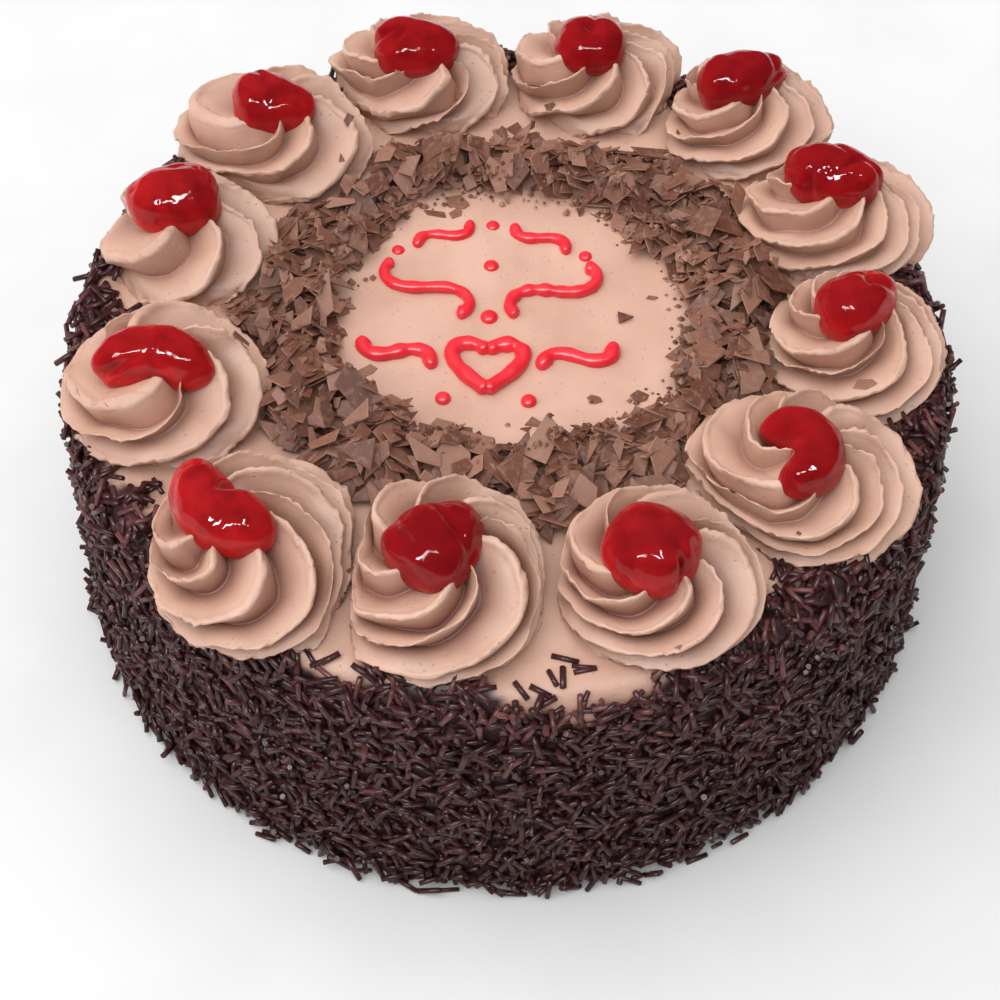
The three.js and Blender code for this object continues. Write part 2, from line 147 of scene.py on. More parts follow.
# Flakes on the rosettes: number of the rosette, direction (degrees), distance as a share, and reach
CREAM_FLAKES = (
    (12, 20, 0.8, 2.2), (5, 262, 0.72, 3), (1, 330, 0.62, 1), (1, 352, 0.86, 1.3),
    (2, 95, 0.86, 2.8), (8, 222, 0.8, 2.6), (8, 238, 0.92, 1.6), (7, 205, 0.86, 1.5),
    (9, 300, 0.75, 1.6), (9, 250, 0.6, 1.2), (10, 345, 0.8, 1.8), (10, 320, 0.9, 1.4),
    (3, 275, 0.95, 0.9), (4, 262, 0.8, 0.8),
)
CREAM_BED_POINTS = 30
CREAM_UPRIGHT = 0.2
CREAM_STEEPEST = 1.2
HEAP_CELL = 0.5
HEAP_REACH = 80.0

# Crumbs; their lift and unevenness are shares of their radius
CRUMB_COUNT = 620
CRUMB_RADIUS = (0.25, 1.5)
CRUMB_RADIUS_DRAW = (1.2, 3.0)
CRUMB_START = 4.0
CRUMB_SPREAD = 4.0
CRUMB_LIFT = 0.4
CRUMB_UNEVEN = (0.6, 1.3)
CRUMB_CORNERS = ((1, 0, 0), (-1, 0, 0), (0, 1, 0), (0, -1, 0), (0, 0, 1), (0, 0, -1))
CRUMB_FACES = ((0, 2, 4), (2, 1, 4), (1, 3, 4), (3, 0, 4), (2, 0, 5), (1, 2, 5), (3, 1, 5), (0, 3, 5))

# Rosettes, with angles in degrees. Narrow is the depth along Y as a share of the width, ease how much of
# the sweep is near the foot (1 is even) and ears their height at the back
Rosette = namedtuple(
    "Rosette", "direction ring radius narrow lean_x lean_y ridges first_ridge sweep ease ears")
ROSETTES = tuple(Rosette(*row) for row in (
    (236.7, 92.6, 24.3, 1, -10, 3.8, 8, 20, 150, 1.4, 6),
    (260.5, 82.1, 26.5, 0.93, 0.1, 1.3, 8, 75, 150, 1.4, 6),
    (293.5, 85.5, 24, 0.94, -3, -1.5, 8, 110, 150, 1.4, 4),
    (322.5, 83, 26, 0.93, -0.4, -1.5, 8, 200, 160, 1.4, 4),
    (352, 83, 21.5, 0.95, -1.5, 4.5, 9, 35, 150, 1, 1),
    (21.5, 86.5, 24.2, 0.86, -2, 4, 9, 160, 140, 1, -3),
    (48.5, 90.5, 22.8, 0.87, -2, 3, 9, 250, 130, 1, -1),
    (76, 86, 26, 0.8, -2, -1, 9, 15, 90, 1, 0),
    (107, 86, 26.5, 0.8, -1.5, -3, 9, 90, 95, 1, 0),
    (137.5, 84.5, 26.5, 0.9, 1, -1.5, 6, 150, 120, 1.3, 1),
    (167, 81.5, 22, 0.95, -2.5, 1.5, 6, 300, 85, 1.2, 0),
    (200.5, 84, 23.5, 0.98, -1, -1, 6, 230, 140, 1.3, 5),
))
# How strongly each rosette's creases are darkened with painted shade
CREASE_SHARES = (1.1, 1.1, 1.2, 0.6, 0.7, 0.55, 0.65, 0.65, 0.6, 0.65, 0.65, 0.6)
ROSETTE_HEIGHT = 17.0
ROSETTE_SLOPES = (-18.0, 66.0)
ROSETTE_ROWS = 72
SKIRT_DEPTH = 0.6
SWEEP_END = 1.2
# Depth of a ridge, and the shares of it at places along the rise
RIDGE_DEPTH = 6.2
RIDGE_DEPTH_SHARES = ((0.0, 0.55), (0.5, 1.0), (1.0, 1.0), (SWEEP_END, 0.3))
RIDGE_CREST = 0.66
RIDGE_HOLLOW = 1.05
RIDGE_SIDE_STEPS = 11
RIDGE_LIP_STEPS = 5
LIP_WIDTH = 0.09
LIP_SINK = 0.14
# Exponents of the painted shade on the wall under a lip and on the ledge above it
WALL_SHADE = 0.8
LEDGE_SHADE = 1.4
# How uneven a rosette's ridges are, and its pace from one ridge to the next (radians)
UNEVEN_WIDTH = 0.32
UNEVEN_REACH = 0.05
UNEVEN_SWEEP = 0.3
UNEVEN_EAR = 0.35
WIDTH_PACE = 2.4
REACH_PACE = 1.7
SWEEP_PACE = 3.1
EAR_PACE = 2.9
EAR_RISE = 0.85
EAR_SPREAD = 0.2
EAR_TURN = math.radians(20)
EAR_FRONT = 0.35
RIDGE_WARP = 0.3
# Soft waves all over the cream, ragged lips and a torn foot
CREAM_WAVE = 0.3
CREAM_WAVE_SIZE = 12.0
RAGGED = 0.2
RAGGED_SIZE = 2.4
RAGGED_SHARES = (0.6, 0.6, 1.0)
RAGGED_SINK = 0.2
TORN = 0.015
TORN_SIZE = 2.5
TORN_RISE = 0.25
SQUASH_FROM = 0.78
SQUASH_LEAN = 0.4

# Cherries: length, half width, half height, bend (degrees), taper, turn (degrees) and random creases
CHERRIES = (
    (28.5, 7.6, 7.5, 130, 0.1, -42, 1),
    (22, 9.6, 8, 0, -0.3, 50, 3),
    (20.5, 10.2, 9.2, 0, 0, -30, 0),
    (28.5, 6, 6.8, 250, -0.1, 104, 1),
    (21.5, 7.8, 7.4, 30, -0.25, 40, 4),
    (24, 8.4, 7.8, 40, 0.1, 168, 5),
    (24.5, 7.4, 7.6, 35, -0.22, 22, 4),
    (18.5, 9, 7, 0, 0, 0, 2),
    (22.5, 8.8, 7.2, 20, 0.15, 175, 1),
    (21.5, 8, 7.3, 25, 0.28, 172, 1),
    (22.5, 9, 8.4, 0, 0.1, 12, 0),
    (28, 7, 7.4, 135, 0, 180, 1),
)
CHERRY_BLUNT = 2.4
# How much darker each cherry is than the lightest
CHERRY_SHADES = (0.0, 0.62, 0.2, 0.45, 0.25, 0.45, 0.55, 0.5, 0.35, 0.15, 0.05, 0.0)
# Dents: number of the cherry, azimuth, elevation, turn, reach along and across (degrees), and depth
CHERRY_DENTS = (
    (3, -48, 18, 80, 26, 6, 3.4),
    (8, 0, 88, 0, 17, 15, 2.6),
    (9, 185, 25, 85, 40, 8, 1.8),
    (2, 200, 35, 20, 34, 10, 2.2),
    (11, 80, 60, 15, 22, 12, 0.9),
    (1, 48, 30, 80, 44, 14, 2.6),
)
# Random creases, with angles in degrees
CREASE_ELEVATION = (5.0, 75.0)
CREASE_REACH = (20.0, 42.0)
CREASE_WIDTH = (5.0, 9.0)
CREASE_DEPTH = (0.6, 1.5)
CHERRY_LIFT = 15.0
CHERRY_SIDES = 64
CHERRY_RINGS = 40
CHERRY_SPAN = (0.03, 0.97)
CHERRY_WAVE = 0.12
CHERRY_WAVE_SIZE = 7.0
# Heights from a cherry's middle over which the painted glow fades, from bright below to deep on top
CHERRY_FADE = (-8.0, 9.0)

# Piped ornament: middle, length, radius, curl of the ends and turn (degrees), and side of the curl
PIPING_MIDDLE = np.array([-5.0, 6.0])
SCROLLS = (
    ((-12, 25), 20, 1.4, 150, -8, 1),
    ((12, 25), 20, 1.4, 150, 8, -1),
    ((-15.5, 7), 37, 1.5, 175, 6, -1),
    ((15.5, 7), 37, 1.5, 175, -6, 1),
    ((-21.5, -14.5), 24.5, 1.8, 160, 20, -1),
    ((21.5, -14.5), 24.5, 1.8, 160, -20, 1),
)
HEART_MIDDLE = (0.0, -17.0)
HEART_SIZE = 8.5
HEART_RADIUS = 1.8
# Part of the heart's curve that its two cords follow (radians)
HEART_SPAN = (0.45, math.pi - 0.4)
HEART_OVERLAP = 1.3
DOTS = (
    (0, 29, 1.8), (0, 15, 2), (-23.2, 19.5, 1.7), (23.2, 19.5, 1.7),
    (0, -2, 2.2), (-10, -28, 1.9), (10, -28, 1.9),
)
PIPING_SIDES = 14
PIPING_STEPS = 40
PIPING_SINK = 0.35
# Round ends of a cord, in shares of its radius; the tip is squared
END_STEPS = 9
END_BULB = 0.22
END_BULB_REACH = 1.5
END_TIP = 0.0004
CORD_UNEVEN = 0.08
CORD_WAVE = 5.0
DOT_ROWS = 12
DOT_HEIGHT = 0.75

# Camera, fitted to the photo's outline of the cake (metres)
CAMERA_EYE = (0.0, -0.3092, 0.41327)
CAMERA_RIGHT = (0.9995, 0.0263, 0.0174)
CAMERA_UP = (-0.0315, 0.7934, 0.6079)
CAMERA_LENS = 68.4
CAMERA_SENSOR = 36.0

# Light: the sky, and place, size and power of lamps that show only as glints (metres, watts)
SKY_LOW = 0.14
SKY_HIGH = 2.85
SKY_FROM = 0.3
SKY_LEAN = (-0.4, -0.08, 1.0)
TUBES = (
    ((-0.60, -0.66, 1.0), (0.08, 0.36), 6.0),
    ((-0.38, -0.72, 1.0), (0.06, 0.36), 4.5),
    ((0.02, -0.68, 1.1), (0.46, 0.08), 7.0),
    ((0.42, -0.5, 1.15), (0.08, 0.2), 2.4),
)
BOUNCES = 4
FLOOR_SIZE = 200
FLOOR_GREYS = (0.68, 0.7)


def linear(red, green, blue):
    """A screen colour in steps of 0 to 255, in the linear form that shaders take."""
    shares = np.array([red, green, blue]) / 255
    values = np.where(shares <= 0.04045, shares / 12.92, ((shares + 0.055) / 1.055) ** 2.4)
    return (*values.tolist(), 1.0)


def between(limits, share):
    return limits[0] + (limits[1] - limits[0]) * share


def heading(turn):
    """The flat unit vector in a direction."""
    return np.array([math.cos(turn), math.sin(turn)])


def turned(line, turn):
    """Flat points turned round the origin."""
    return line @ np.array([[math.cos(turn), math.sin(turn)], [-math.sin(turn), math.cos(turn)]])


def distance_along(line):
    """Distance of each point of a line from its start."""
    return np.append(0, np.cumsum(norm(np.diff(line, axis=0), axis=1)))


def waves(points, size, rng):
    """Smooth random relief of about unit strength, with bumps about the given size apart."""
    directions = rng.normal(size=(WAVE_COUNT, points.shape[1]))
    directions /= norm(directions, axis=1)[:, None]
    directions *= rng.uniform(*WAVE_SPREAD, WAVE_COUNT)[:, None] / size
    angles = math.tau * (points @ directions.T) + rng.uniform(0, math.tau, WAVE_COUNT)
    return np.sin(angles).sum(axis=1) * math.sqrt(2 / WAVE_COUNT)


# Meshes


def add_piece(name, points, faces, material, smooth=True):
    """A piece that rides on the cake, from points in millimetres and faces."""
    mesh = bpy.data.meshes.new(name)
    mesh.from_pydata((np.asarray(points) * MM).tolist(), [], faces)
    mesh.polygons.foreach_set("use_smooth", np.broadcast_to(smooth, len(mesh.polygons)).tolist())
    mesh.materials.append(material)
    mesh.update()
    piece = bpy.data.objects.new(name, mesh)
    bpy.context.scene.collection.objects.link(piece)
    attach(piece, "root")
    return piece


def grid_faces(rows, columns):
    """Quads over rows of points that close on themselves."""
    row, column = np.meshgrid(np.arange(rows - 1), np.arange(columns), indexing="ij")
    here = (row * columns + column).ravel()
    beside = (row * columns + (column + 1) % columns).ravel()
    return np.stack([here, beside, beside + columns, here + columns], axis=1).tolist()


def prism_faces(rows, columns):
    """Quads over rows of points that close on themselves, and a flat face at each end."""
    last = (rows - 1) * columns
    return [*grid_faces(rows, columns), [*reversed(range(columns))], [*range(last, last + columns)]]


def capped_skin(rows):
    """Points and faces of a closed skin over an array of rows, with a fan at each end."""
    count, columns = rows.shape[:2]
    points = np.vstack([rows.reshape(-1, 3), rows[0].mean(axis=0), rows[-1].mean(axis=0)])
    first, last = count * columns, count * columns + 1
    faces = grid_faces(count, columns)
    top = (count - 1) * columns
    for column in range(columns):
        beside = (column + 1) % columns
        faces.append([first, beside, column])
        faces.append([last, top + column, top + beside])
    return points, faces


def joined(skins):
    """Points and faces of several skins as those of one."""
    points, faces, start = [], [], 0
    for part, part_faces in skins:
        points.append(part)
        faces += [[start + corner for corner in face] for face in part_faces]
        start += len(part)
    return np.vstack(points), faces


def skin_normals(points, faces):
    """Unit normals at the points, from the triangles and quads around them."""
    normals = np.zeros_like(points)
    for count in (3, 4):
        corners = np.array([face for face in faces if len(face) == count])
        if len(corners):
            one = points[corners[:, -1]] - points[corners[:, 1]]
            two = points[corners[:, 2]] - points[corners[:, 0]]
            across = np.cross(two, one)
            for corner in range(count):
                np.add.at(normals, corners[:, corner], across)
    return normals / np.maximum(norm(normals, axis=1), TINY)[:, None]


def set_shade(piece, values):
    """One number for each point, which a material can read."""
    attribute = piece.data.attributes.new("shade", "FLOAT", "POINT")
    attribute.data.foreach_set("value", np.asarray(values, np.float32))


# Materials


def set_inputs(node, values):
    """Sets a node's sockets, given by name."""
    for name, value in values.items():
        node.inputs[name].default_value = value


class Paint:
    """A node material with one shader and the few kinds of node that this cake needs."""

    def __init__(self, name, values):
        self.material = bpy.data.materials.new(name)
        self.material.use_nodes = True
        self.tree = self.material.node_tree
        self.shader = self.tree.nodes["Principled BSDF"]
        set_inputs(self.shader, values)
        self.place = self.node("ShaderNodeTexCoord").outputs["Object"]

    def node(self, kind, **settings):
        made = self.tree.nodes.new(kind)
        for key, value in settings.items():
            setattr(made, key, value)
        return made

    def link(self, source, target):
        self.tree.links.new(source, target)

    def noise(self, size, detail=2.0):
        """Soft blotches about the given size in millimetres."""
        made = self.node("ShaderNodeTexNoise")
        set_inputs(made, {"Scale": 1 / (size * MM), "Detail": detail})
        self.link(self.place, made.inputs["Vector"])
        return made.outputs["Fac"]

    def cells(self, size):
        """Distance to the nearest of points about the given size apart, in millimetres."""
        made = self.node("ShaderNodeTexVoronoi")
        set_inputs(made, {"Scale": 1 / (size * MM)})
        self.link(self.place, made.inputs["Vector"])
        return made.outputs["Distance"]

    def height(self, low, high):
        """0 to 1 from the lower height to the higher one, in millimetres."""
        split = self.node("ShaderNodeSeparateXYZ")
        self.link(self.place, split.inputs[0])
        made = self.node("ShaderNodeMapRange")
        set_inputs(made, {"From Min": low * MM, "From Max": high * MM})
        self.link(split.outputs["Z"], made.inputs["Value"])
        return made.outputs["Result"]

    def shade(self):
        return self.node("ShaderNodeAttribute", attribute_name="shade").outputs["Fac"]

    def ramp(self, source, *stops):
        """Colours or grey values along a source, each stop a place and a value."""
        made = self.node("ShaderNodeValToRGB")
        elements = made.color_ramp.elements
        while len(elements) < len(stops):
            elements.new(0.5)
        for element, (place, value) in zip(elements, stops):
            element.position = place
            element.color = value if isinstance(value, tuple) else (value, value, value, 1)
        self.link(source, made.inputs["Fac"])
        return made.outputs["Color"]

    def mix(self, share, one, two):
        made = self.node("ShaderNodeMix", data_type="RGBA")
        for value, socket in ((share, "Factor"), (one, "A"), (two, "B")):
            target = next(i for i in made.inputs if i.name == socket and i.enabled)
            if isinstance(value, bpy.types.NodeSocket):
                self.link(value, target)
            else:
                target.default_value = value
        return next(o for o in made.outputs if o.enabled)

    def bump(self, source, depth, strength=1.0, under=None):
        """Relief of the given depth in millimetres, over other relief."""
        made = self.node("ShaderNodeBump")
        set_inputs(made, {"Strength": strength, "Distance": depth * MM})
        self.link(source, made.inputs["Height"])
        if under is not None:
            self.link(under, made.inputs["Normal"])
        return made.outputs["Normal"]

    def finish(self, colour, normal=None):
        self.link(colour, self.shader.inputs["Base Color"])
        if normal is not None:
            self.link(normal, self.shader.inputs["Normal"])
        return self.material


CREAM_LIGHT = linear(208, 168, 147)
CREAM_DARK = linear(197, 155, 134)
# Colour of the painted shade in the rosettes' creases and on the walls under their lips
CREAM_PAINTED_SHADE = linear(144, 96, 80)
ICING_LIGHT = linear(207, 166, 146)
ICING_DARK = linear(196, 153, 133)
CHOCOLATE_DEEP = linear(48, 21, 22)
CHOCOLATE_MIDDLE = linear(74, 38, 38)
CHOCOLATE_LIGHT = linear(112, 68, 64)
FLAKE_DARK = linear(96, 54, 38)
FLAKE_MIDDLE = linear(133, 88, 69)
FLAKE_LIGHT = linear(165, 123, 104)
FLAKE_BLOOM = linear(158, 121, 105)
# Painted glow at the bottom of the cherries, where light comes out again
CHERRY_PAINTED_GLOW = linear(240, 26, 22)
CHERRY_RED = linear(194, 28, 29)
CHERRY_DARK = linear(150, 26, 29)
CHERRY_DEEP = linear(104, 12, 18)
PIPING_DARK = linear(222, 36, 50)
PIPING_LIGHT = linear(236, 52, 66)


def cream_look():
    paint = Paint("piped_cream", {"Roughness": 0.55})
    plain = paint.ramp(paint.noise(size=14, detail=3), (0.35, CREAM_DARK), (0.65, CREAM_LIGHT))
    # The creases and the walls under the lips are darkened with painted shade
    colour = paint.mix(paint.shade(), plain, CREAM_PAINTED_SHADE)
    return paint.finish(colour, cream_relief(paint))


def cream_relief(paint):
    """The fine grain of whipped cream, with burst bubbles."""
    grain = paint.bump(paint.noise(size=0.9, detail=4), depth=0.11)
    pits = paint.ramp(paint.cells(size=2.3), (0.05, 0.0), (0.12, 1.0))
    return paint.bump(pits, depth=0.25, strength=0.7, under=grain)


def icing_look():
    """Cream on top, and dark chocolate on the wall below it: the coat's deeper strands and the painted
    shade in the gaps between them.
    """
    paint = Paint("icing", {"Roughness": 0.55})
    cream = paint.ramp(paint.noise(size=18, detail=3), (0.35, ICING_DARK), (0.65, ICING_LIGHT))
    # Dark chocolate for the deeper strands, which is also painted shade in the gaps between the strands
    crumb_and_shade = paint.ramp(paint.noise(size=2.5, detail=3), (0.35, CHOCOLATE_DEEP), (0.7, CHOCOLATE_MIDDLE))
    colour = paint.mix(paint.shade(), cream, crumb_and_shade)
    return paint.finish(colour, cream_relief(paint))


def strand_look():
    paint = Paint("chocolate_strand", {"Roughness": 0.34, "Specular IOR Level": 0.35})
    colour = paint.ramp(
        paint.shade(), (0.0, CHOCOLATE_DEEP), (0.6, CHOCOLATE_MIDDLE), (1.0, CHOCOLATE_LIGHT))
    return paint.finish(colour, paint.bump(paint.noise(size=0.5), depth=0.05))


def flake_look():
    paint = Paint("chocolate_flake", {"Roughness": 0.6, "Specular IOR Level": 0.3})
    plain = paint.ramp(paint.shade(), (0.0, FLAKE_DARK), (0.5, FLAKE_MIDDLE), (1.0, FLAKE_LIGHT))
    bloom = paint.ramp(paint.noise(size=1.6, detail=4), (0.5, 0.0), (0.75, 0.55))
    colour = paint.mix(bloom, plain, FLAKE_BLOOM)
    return paint.finish(colour, paint.bump(paint.noise(size=0.7, detail=4), depth=0.12))


def cherry_look():
    """Clear red flesh with a painted glow: deep on top, and brighter below where light comes out again."""
    paint = Paint("candied_cherry", {
        "Roughness": 0.2, "Specular IOR Level": 0.0,
        "Coat Weight": 1.0, "Coat Roughness": 0.03, "Coat IOR": 1.33,
        "Subsurface Weight": 0.6, "Subsurface Radius": (1.0, 0.1, 0.08), "Subsurface Scale": 3.0 * MM})
    low, high = (CAKE_HEIGHT + CHERRY_LIFT + height for height in CHERRY_FADE)
    # Painted glow: the flesh is brighter towards the bottom and deeper on top
    flesh = paint.ramp(
        paint.height(low, high), (0.0, CHERRY_PAINTED_GLOW), (0.45, CHERRY_RED), (1.0, CHERRY_DARK))
    blotch = paint.ramp(paint.noise(size=5), (0.35, 0.0), (0.7, 0.6))
    syrup = paint.bump(paint.noise(size=3.4, detail=1), depth=0.35)
    paint.link(syrup, paint.shader.inputs["Coat Normal"])
    colour = paint.mix(paint.shade(), paint.mix(blotch, flesh, CHERRY_DEEP), CHERRY_DEEP)
    return paint.finish(colour, paint.bump(paint.noise(size=3.0, detail=1), depth=0.1))


def piping_look():
    paint = Paint("red_piping", {
        "Roughness": 0.28, "Subsurface Weight": 0.3, "Subsurface Radius": (1.0, 0.2, 0.2),
        "Subsurface Scale": 1.0 * MM})
    colour = paint.ramp(paint.noise(size=4), (0.3, PIPING_DARK), (0.7, PIPING_LIGHT))
    return paint.finish(colour, paint.bump(paint.noise(size=1.2), depth=0.06))


# Cake body


def wall_radius(z):
    return FOOT_RADIUS + (RIM_RADIUS - FOOT_RADIUS) * np.asarray(z) / CAKE_HEIGHT


def icing_profile():
    """Radius and height from the foot up the wall, round the shoulder and in over the top."""
    wall_z = np.linspace(0, SHOULDER_START, WALL_STEPS)
    wall = np.stack([wall_radius(wall_z) - COAT_DEPTH, wall_z], axis=1)
    turn = np.linspace(0, math.pi / 2, SHOULDER_STEPS)[1:]
    rim = wall[-1, 0]
    shoulder = np.stack([rim - SHOULDER * (1 - np.cos(turn)),
                         CAKE_HEIGHT - SHOULDER * (1 - np.sin(turn))], axis=1)
    flat = np.linspace(shoulder[-1, 0], LAST_RING, TOP_STEPS)[1:]
    top = np.stack([flat, np.full_like(flat, CAKE_HEIGHT)], axis=1)
    return np.vstack([wall, shoulder, top])


def build_icing():
    rng = default_rng(SEED)
    profile = icing_profile()
    angles = np.linspace(0, math.tau, ICING_SIDES, endpoint=False)
    rows = np.stack([profile[:, :1] * np.cos(angles), profile[:, :1] * np.sin(angles),
                     np.repeat(profile[:, 1:], len(angles), axis=1)], axis=2)
    points, faces = capped_skin(rows)
    relief = sum(strength * waves(points, size, rng) for strength, size in ICING_WAVES)
    on_top = np.clip((points[:, 2] - CAKE_HEIGHT + ICING_WAVES_FADE) / ICING_WAVES_FADE, 0, 1)
    points[:, 2] += relief * on_top
    icing = add_piece("icing", points, faces, icing_look())
    border = coat_border(np.arctan2(points[:, 1], points[:, 0]))
    climbed = np.append(np.repeat(distance_along(profile), len(angles)), [0, border.max()])
    # The wall under the coat takes the chocolate colour, also painted shade between the strands
    set_shade(icing, np.clip((border - COAT_COLOUR_INSET - climbed) / COAT_COLOUR_FADE, 0, 1))
    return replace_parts(icing, "cake_body")


# Strands


def coat_border(turn):
    """How far up the coat of strands reaches in each direction, measured along the icing."""
    rng = default_rng(SEED)
    degrees = np.degrees(turn)[:, None]
    middles, reaches, extras = np.array(BORDER_TURNS).T
    apart = (degrees - middles + 180) % 360 - 180
    climb = (extras * np.exp(-(apart / reaches) ** 2)).sum(axis=1)
    ring = RIM_RADIUS * np.stack([np.cos(turn), np.sin(turn)], axis=1)
    return SHOULDER_END + BORDER + climb + BORDER_UNEVEN * waves(ring, BORDER_WAVE, rng)


def coat_places(turn, climb):
    """Place, outward direction and the two directions along the icing, at a distance up from its foot."""
    over = np.clip((climb - SHOULDER_START) / SHOULDER, 0, math.pi / 2)
    inward = np.clip(climb - SHOULDER_END, 0, None)
    low = np.minimum(climb, SHOULDER_START)
    reach = wall_radius(low) - COAT_DEPTH - SHOULDER * (1 - np.cos(over)) - inward
    height = low + SHOULDER * np.sin(over)
    out = np.stack([np.cos(turn) * np.cos(over), np.sin(turn) * np.cos(over), np.sin(over)], axis=1)
    along = np.stack([-np.sin(turn), np.cos(turn), np.zeros_like(turn)], axis=1)
    place = np.stack([reach * np.cos(turn), reach * np.sin(turn), height], axis=1)
    return place, out, along, np.cross(out, along)


def strand_places(rng):
    """Strands all over the side, at even places on a spiral, up to the uneven border on top."""
    share = (np.arange(STRAND_COUNT) + 0.5) / STRAND_COUNT
    turn = np.arange(STRAND_COUNT) * GOLDEN_TURN + rng.normal(0, TURN_SCATTER, STRAND_COUNT)
    climb = share * coat_border(turn) + rng.normal(0, CLIMB_SCATTER, STRAND_COUNT)
    return coat_places(turn, np.clip(climb, LOWEST_STRAND, None))


def stray_places(rng):
    """Single strands on the icing beyond the border, where no rosette stands."""
    turn = rng.uniform(0, math.tau, STRAY_COUNT)
    climb = coat_border(turn) + rng.exponential(STRAY_REACH, STRAY_COUNT)
    places = coat_places(turn, climb)
    clear = np.ones(STRAY_COUNT, bool)
    for rosette in ROSETTES:
        apart = norm(places[0][:, :2] - rosette_place(rosette), axis=1)
        clear &= apart > rosette.radius + STRAY_CLEARANCE
    return [part[clear] for part in places]


def strand_axes(rng, out, along, up):
    """Random directions along the coat, and how far above the icing each strand lies."""
    count = len(out)
    shares, lifts, tilts = np.array(STRAND_LAYERS).T
    layer = rng.choice(len(STRAND_LAYERS), count, p=shares)
    lift = lifts[layer] + rng.uniform(0, LAYER_DEPTH, count)
    tilt = np.radians(tilts[layer]) * rng.normal(0, TILT_SCATTER, count)
    spin = rng.uniform(0, math.pi, count)
    flat = along * np.cos(spin)[:, None] + up * np.sin(spin)[:, None]
    return flat * np.cos(tilt)[:, None] + out * np.sin(tilt)[:, None], lift


def rods(centres, axes, lengths, radii, sides):
    """Points and faces of straight rods with flat ends, and which of the faces are smooth."""
    helper = np.where(np.abs(axes[:, 2:]) < STEEP_ROD, [[0.0, 0.0, 1.0]], [[1.0, 0.0, 0.0]])
    one = np.cross(axes, helper)
    one /= norm(one, axis=1)[:, None]
    two = np.cross(axes, one)
    angle = math.tau * np.arange(sides) / sides
    ring = one[:, None] * np.cos(angle)[None, :, None] + two[:, None] * np.sin(angle)[None, :, None]
    ring *= radii[:, None, None]
    half = (axes * lengths[:, None] / 2)[:, None]
    points = np.concatenate([centres[:, None] - half + ring, centres[:, None] + half + ring], axis=1)
    points, faces = joined((rod, prism_faces(2, sides)) for rod in points)
    return points, faces, ([True] * sides + [False, False]) * len(centres)


def lay_strands(rng, places, lift=None):
    """Strands at places on the icing, in the layers of the coat or, with a lift given, flat on it."""
    place, out, along, up = places
    axes, layer_lift = strand_axes(rng, out, along, up)
    lengths = between(STRAND_LENGTH, rng.beta(*STRAND_LENGTH_DRAW, len(place)))
    radii = between(STRAND_RADIUS, rng.random(len(place)))
    if lift is not None:
        axes -= out * (axes * out).sum(axis=1)[:, None]
        axes /= norm(axes, axis=1)[:, None]
        layer_lift = lift * radii
    splay = np.clip(1 - place[:, 2] / SPLAY_BELOW, 0, 1) * rng.uniform(0, SPLAY, len(place))
    centres = place + out * (layer_lift + splay)[:, None]
    lowest = centres[:, 2] - np.abs(axes[:, 2]) * lengths / 2 - radii
    centres[:, 2] += np.clip(-lowest, 0, None)
    return centres, axes, lengths, radii


def build_strands():
    rng = default_rng(SEED + 1)
    laid = (lay_strands(rng, strand_places(rng)), lay_strands(rng, stray_places(rng), STRAY_LIFT))
    centres, axes, lengths, radii = (np.concatenate(parts) for parts in zip(*laid))
    points, faces, smooth = rods(centres, axes, lengths, radii, STRAND_SIDES)
    strands = add_piece("chocolate_strands", points, faces, strand_look(), smooth)
    # Painted shade by height: darker towards the foot, lighter at the top
    painted_light = between(STRAND_PAINTED_SHADE, centres[:, 2] / CAKE_HEIGHT)
    shade = rng.beta(*STRAND_SHADE_DRAW, len(centres)) * painted_light
    set_shade(strands, np.repeat(shade, 2 * STRAND_SIDES))
    return strands


# Flakes and crumbs


class Heap:
    """Height of what lies on the cake's top, on a square grid, and the cells kept for other pieces."""

    def __init__(self):
        cells = int(2 * HEAP_REACH / HEAP_CELL)
        self.axis = (np.arange(cells) + 0.5) * HEAP_CELL - HEAP_REACH
        self.height = np.zeros((cells, cells))
        self.blocked = self.near((rosette_place(each), ROSETTE_HOLD * each.radius) for each in ROSETTES)
        self.bare = self.near(ornament_places())

    def near(self, places):
        """The cells near any of the places, each given with its reach."""
        found = np.zeros_like(self.height, bool)
        for place, reach in places:
            x, y = place - TOPPING_MIDDLE
            found |= np.hypot(self.axis[:, None] - x, self.axis[None, :] - y) < reach
        return found

    def under(self, outline):
        """The cells inside a convex outline, counter-clockwise."""
        low = np.searchsorted(self.axis, outline.min(axis=0) - HEAP_CELL)
        high = np.searchsorted(self.axis, outline.max(axis=0) + HEAP_CELL)
        x, y = np.meshgrid(self.axis[low[0]:high[0]], self.axis[low[1]:high[1]], indexing="ij")
        inside = np.ones_like(x, bool)
        for start, end in zip(outline, np.roll(outline, -1, axis=0)):
            inside &= (end[0] - start[0]) * (y - start[1]) - (end[1] - start[1]) * (x - start[0]) >= 0
        window = (slice(low[0], high[0]), slice(low[1], high[1]))
        return window, inside, x, y


def flake_outline(rng, reach):
    """A convex shard: a few corners at uneven angles on a stretched circle."""
    corners = rng.choice(FLAKE_CORNERS)
    scatter = rng.uniform(-FLAKE_CORNER_SCATTER, FLAKE_CORNER_SCATTER, corners)
    angles = math.tau * (np.arange(corners) + scatter) / corners
    stretch = rng.uniform(*FLAKE_STRETCH)
    shard = np.stack([np.cos(angles), stretch * np.sin(angles)], axis=1) * reach
    return turned(shard, rng.uniform(0, math.tau))


